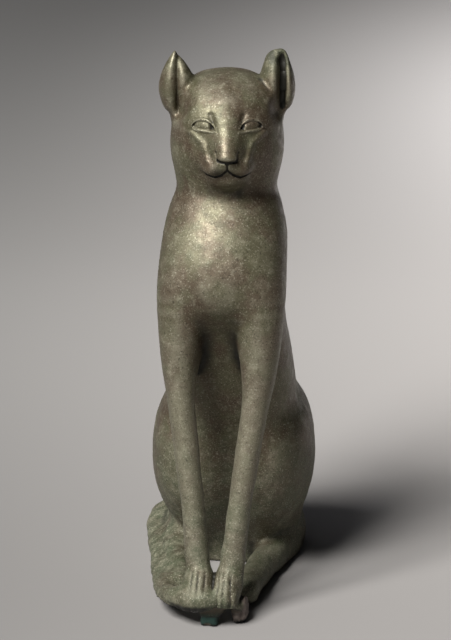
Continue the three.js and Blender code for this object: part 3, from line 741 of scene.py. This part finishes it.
h = to_head(points)
broad = fractal(points, 30, 3, seed=1)
patchy = fractal(points, 9, 4, seed=2)
low_down = smooth(170, 20, points[:, 2] + 18 * broad)
ear_tip = bump(np.linalg.norm(h - (40, 6, 441), axis=1), 15)
muzzle = bump(np.linalg.norm(h - (-8, -46, 359), axis=1), 5)
tail_side = smooth(-38, -60, points[:, 0]) * smooth(60, 20, points[:, 2])
crust = np.clip(
    0.75 * low_down + ear_tip + 0.8 * muzzle + 0.4 * tail_side + 0.35 * patchy, 0, 1
)
tang, lump = tang_and_lump(points)
teal = smooth(2.5, 0.5, tang) * smooth(17, 12, points[:, 2])
purple = smooth(2.5, 0.5, lump)
crust = np.maximum(crust, 0.9 * (broken_metal(points) < 3))
# Painted shade: faces turned down, low and at the front, go dark as if the ground under the
# forepaws lay in shadow
painted_shade_under_paws = smooth(-0.15, -0.6, normals[:, 2]) * (points[:, 2] < 30) * (points[:, 1] < -50)
hollow = np.maximum(hollow, painted_shade_under_paws)
# Less painted shade and dirt in the right ear's channel, as its flank catches the light
right_ear = (h[:, 0] < -22) & (h[:, 2] > 388)
hollow = np.where(right_ear, 0.35 * hollow, hollow)
stain = np.maximum(0.8 * ear_tip * smooth(-0.5, 0.3, patchy), 0.7 * muzzle)
hollow = np.maximum(hollow, stain)
print("crust, hollow and worn on average:", crust.mean(), hollow.mean(), worn.mean())

# %% [markdown]
# ## Casting skin, pits and the ragged foot
#
# Cast bronze is never quite smooth: it waves by tenths of a millimetre, it is pitted, and where
# it is corroded it is as rough as bark. The larger of these are real geometry, moved along the
# surface's own direction. The smallest are left to the material.

# %% Roughen the skin
def pits(p, size, share, seed):
    """Round pits, scattered one to a cell of `size` mm, in a share of the cells."""
    shift = Vector((seed * 3.7, seed * 8.9, seed * 2.3))
    depth_here = np.zeros(len(p))
    for i, q in enumerate(p):
        spot = Vector(q) / size + shift
        distances, centres = noise.voronoi(spot)
        pick = abs(noise.cell(centres[0] * 13.7))
        if pick < share:
            radius = 0.10 + 0.14 * pick / share
            depth_here[i] = max(0.0, 1 - distances[0] / radius) ** 0.7
    return depth_here


DRIP = (1, 1, 0.6)  # stretches the lumps of the crust along the height
outer = np.flatnonzero(~inside)
outer_points = points[outer]
rough = crust[outer]
move = 0.18 * broad[outer] + 0.14 * patchy[outer]
move += (0.08 + 0.8 * rough) * fractal(outer_points * DRIP, 11, 2, seed=3)
eaten = rough * on_tail_side(outer_points, -3)
move += 0.7 * eaten * fractal(outer_points * DRIP, 5, 2, seed=5)
move += 1.2 * purple[outer] * fractal(outer_points, 3, 4, seed=6)
move -= (0.2 + 0.8 * rough) * pits(outer_points, 11, 0.25, seed=4)
face = on_face(outer_points, 0)
move *= np.where(face & (rough < 0.5), 0.4, 1.0)
skin_move = np.zeros(len(points))
skin_move[outer] = move
skin_move[sole] = 0
points += normals * skin_move[:, None]
points[:, 2] = np.maximum(points[:, 2], 0)
put_points(cat.data, points)
print("deepest pit and highest lump in mm:", move.min().round(2), move.max().round(2))

# %% Keep the weights on the mesh for the material
for name, values in {
    "hollow": hollow, "worn": worn, "crust": crust, "inside": inside.astype(float),
    "teal": teal, "purple": purple,
}.items():
    attribute = cat.data.attributes.new(name, "FLOAT", "POINT")
    attribute.data.foreach_set("value", values.astype(np.float32))
for polygon in cat.data.polygons:
    polygon.use_smooth = True
bm = bmesh.new()
bm.from_mesh(cat.data)
bmesh.ops.triangulate(bm, faces=bm.faces)
bm.to_mesh(cat.data)
bm.free()
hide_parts("cat_coffin")
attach(cat, "root")
print("cast_cat:", len(cat.data.polygons), "triangles")

# %% [markdown]
# ## Patinated bronze
#
# Old bronze is a metal under a thin skin of oxide. The metal shows through as a warm, broken
# gloss, so the shader is mostly metallic with a rough, uneven sheen. Brown and olive noise at
# several scales makes the mottling, ridges are paler, creases hold dirt and painted shade, the
# faces under the forepaws hold painted shade, and the crust is green, dull and grainy.
# Everything reads object coordinates or the weights, so nothing slides.

# %% Helpers for the node tree
def new_material(name):
    material = bpy.data.materials.new(name)
    material.use_nodes = True
    material.node_tree.nodes.clear()
    return material, material.node_tree


def node(tree, kind, inputs=None, **settings):
    made = tree.nodes.new(kind)
    for key, value in settings.items():
        setattr(made, key, value)
    for key, value in (inputs or {}).items():
        if isinstance(value, bpy.types.NodeSocket):
            tree.links.new(value, made.inputs[key])
        else:
            made.inputs[key].default_value = value
    return made


def noise_at(tree, coordinates, size_mm, detail=5, roughness=0.6):
    made = node(tree, "ShaderNodeTexNoise", {
        "Vector": coordinates, "Scale": 1 / (size_mm * MM),
        "Detail": detail, "Roughness": roughness,
    })
    return made.outputs["Fac"]


def remap(tree, value, low, high, to_low=0.0, to_high=1.0):
    made = node(tree, "ShaderNodeMapRange", {
        "Value": value, "From Min": low, "From Max": high, "To Min": to_low, "To Max": to_high,
    }, interpolation_type="SMOOTHSTEP")
    return made.outputs["Result"]


def mix_colour(tree, factor, a, b, blend="MIX"):
    made = node(tree, "ShaderNodeMix", data_type="RGBA", blend_type=blend)
    for index, value in ((0, factor), (6, a), (7, b)):
        if isinstance(value, bpy.types.NodeSocket):
            tree.links.new(value, made.inputs[index])
        else:
            made.inputs[index].default_value = value
    return made.outputs[2]


def sums(tree, operation, a, b):
    return node(tree, "ShaderNodeMath", {0: a, 1: b}, operation=operation).outputs[0]

# %% The bronze
BROWN = (0.094, 0.069, 0.045, 1)
OLIVE = (0.104, 0.096, 0.056, 1)
PALE = (0.30, 0.28, 0.21, 1)
SPECK = (0.40, 0.38, 0.30, 1)
DARK_DIRT_AND_SHADE = (0.014, 0.013, 0.009, 1)
GREEN = (0.072, 0.084, 0.048, 1)
GREY_GREEN = (0.155, 0.155, 0.105, 1)
CORE = (0.10, 0.085, 0.06, 1)
TEAL = (0.018, 0.050, 0.040, 1)
PURPLE = (0.150, 0.115, 0.105, 1)

bronze, tree = new_material("patinated_bronze")
place = node(tree, "ShaderNodeTexCoord").outputs["Object"]
weight = {
    name: node(tree, "ShaderNodeAttribute", attribute_name=name).outputs["Fac"]
    for name in ("hollow", "worn", "crust", "inside", "teal", "purple")
}
mottle = noise_at(tree, place, 26, 6, 0.62)
blotch = noise_at(tree, place, 7, 6, 0.65)
speckle = noise_at(tree, place, 1.2, 4, 0.6)
grain = noise_at(tree, place, 0.7, 3, 0.6)

colour = mix_colour(tree, remap(tree, mottle, 0.38, 0.62), BROWN, OLIVE)
colour = mix_colour(tree, remap(tree, blotch, 0.52, 0.72, 0, 0.4), colour, PALE)
colour = mix_colour(tree, sums(tree, "MULTIPLY", weight["worn"], 0.4), colour, PALE)
colour = mix_colour(tree, remap(tree, speckle, 0.56, 0.68, 0, 0.5), colour, SPECK)
green = mix_colour(tree, remap(tree, blotch, 0.42, 0.62), GREEN, GREY_GREEN)
crusted = sums(tree, "MULTIPLY", weight["crust"], remap(tree, mottle, 0.30, 0.60, 0.45, 0.95))
colour = mix_colour(tree, crusted, colour, green)
fleck = sums(tree, "MULTIPLY", weight["crust"], remap(tree, speckle, 0.57, 0.66, 0, 0.7))
colour = mix_colour(tree, fleck, colour, SPECK)
colour = mix_colour(tree, weight["teal"], colour, TEAL)
colour = mix_colour(tree, sums(tree, "MULTIPLY", weight["purple"], 0.8), colour, PURPLE)
pit = remap(tree, speckle, 0.44, 0.32, 0, 0.65)
# Pits, dirt and stains take the dark colour, and so does the painted shade in creases and under
# the forepaws
colour = mix_colour(tree, sums(tree, "MAXIMUM", pit, weight["hollow"]), colour, DARK_DIRT_AND_SHADE)
colour = mix_colour(tree, weight["inside"], colour, CORE)
bare = sums(tree, "SUBTRACT", 0.5, sums(tree, "MULTIPLY", crusted, 0.35))
sheen = remap(tree, blotch, 0.35, 0.65, 0.42, 0.60)
gloss = sums(tree, "ADD", sheen, sums(tree, "MULTIPLY", crusted, 0.18))

fine_grain = sums(tree, "MULTIPLY", grain, 0.25)
heights = sums(tree, "ADD", sums(tree, "MULTIPLY", speckle, 0.6), fine_grain)
rough_heights = sums(tree, "MULTIPLY", heights, sums(tree, "ADD", 0.5, weight["crust"]))
surface = node(tree, "ShaderNodeBump", {
    "Height": rough_heights, "Strength": 0.7, "Distance": 0.5 * MM,
})
shader = node(tree, "ShaderNodeBsdfPrincipled", {
    "Base Color": colour, "Metallic": bare, "Roughness": gloss,
    "Normal": surface.outputs["Normal"],
})
node(tree, "ShaderNodeOutputMaterial", {"Surface": shader.outputs["BSDF"]})
cat.data.materials.clear()
cat.data.materials.append(bronze)
print("bronze nodes:", len(tree.nodes))

# %% [markdown]
# ## Floor and light
#
# The camera looks down far enough that a flat floor fills the picture, so no backdrop is
# needed, and the cat can be seen from behind too. The floor's colour carries painted light: it
# is painted from grey at the front left to pale at the far right, the way light falls across
# it.
# One soft light stands high at the upper left, in front of the cat, and the room is darker to
# the right, so the cat's left side and the space under its chin lie in shadow. A narrow wash
# brightens the floor far behind the cat on the right.

# %% The floor
FLOOR_SIZE = 16.0

bm = bmesh.new()
bmesh.ops.create_grid(bm, x_segments=1, y_segments=1, size=FLOOR_SIZE / 2)
mesh = bpy.data.meshes.new("floor")
bm.to_mesh(mesh)
bm.free()
floor = bpy.data.objects.new("floor", mesh)
bpy.context.scene.collection.objects.link(floor)
floor_material, floor_tree = new_material("pale_floor")
spot = node(floor_tree, "ShaderNodeTexCoord").outputs["Object"]
spot = node(floor_tree, "ShaderNodeSeparateXYZ", {"Vector": spot})
# Painted light: the floor's colour is paler to the right and towards the back, where more light
# falls
across = remap(floor_tree, spot.outputs["X"], -0.6, 0.6)
paper_with_painted_light = mix_colour(floor_tree, across, (0.245, 0.24, 0.237, 1), (0.66, 0.63, 0.62, 1))
painted_falloff = remap(floor_tree, spot.outputs["Y"], -0.2, 0.9, 0.56, 1.22)
paper_with_painted_light = mix_colour(floor_tree, 1.0, paper_with_painted_light, painted_falloff, "MULTIPLY")
floor_shader = node(floor_tree, "ShaderNodeBsdfPrincipled", {
    "Base Color": paper_with_painted_light, "Roughness": 0.9,
})
node(floor_tree, "ShaderNodeOutputMaterial", {"Surface": floor_shader.outputs["BSDF"]})
mesh.materials.append(floor_material)

# %% Light from the upper left
def softbox(name, place, target, size, power, colour=(1, 1, 1)):
    light = bpy.data.lights.new(name, "AREA")
    light.shape = "RECTANGLE"
    light.size, light.size_y = size
    light.energy = power
    light.color = colour
    lamp = bpy.data.objects.new(name, light)
    lamp.location = place
    lamp.rotation_mode = "QUATERNION"
    lamp.rotation_quaternion = (Vector(target) - Vector(place)).to_track_quat("-Z", "Y")
    bpy.context.scene.collection.objects.link(lamp)
    return lamp


softbox("key", (-1.02, -1.6, 2.35), (0, 0, 0.25), (1.2, 1.2), 165, (1.0, 0.985, 0.95))
softbox("fill", (-0.8, -3.0, 1.2), (0, 0, 0.2), (1.2, 1.2), 2, (0.95, 0.98, 1.0))
wash = softbox("floor_wash", (1.0, 1.9, 1.3), (1.0, 1.91, 0), (0.4, 0.4), 12)
wash.data.spread = math.radians(100)
world = bpy.data.worlds.new("studio")
world.use_nodes = True
sky = world.node_tree.nodes["Background"]
sky.inputs["Color"].default_value = (0.93, 0.94, 1, 1)
direction = node(world.node_tree, "ShaderNodeTexCoord").outputs["Generated"]
rightward = node(world.node_tree, "ShaderNodeSeparateXYZ", {"Vector": direction}).outputs["X"]
glow = remap(world.node_tree, rightward, -0.8, 0.5, 0.15, 0.01)
world.node_tree.links.new(glow, sky.inputs["Strength"])
bpy.context.scene.world = world
bpy.context.scene.view_settings.view_transform = "Standard"
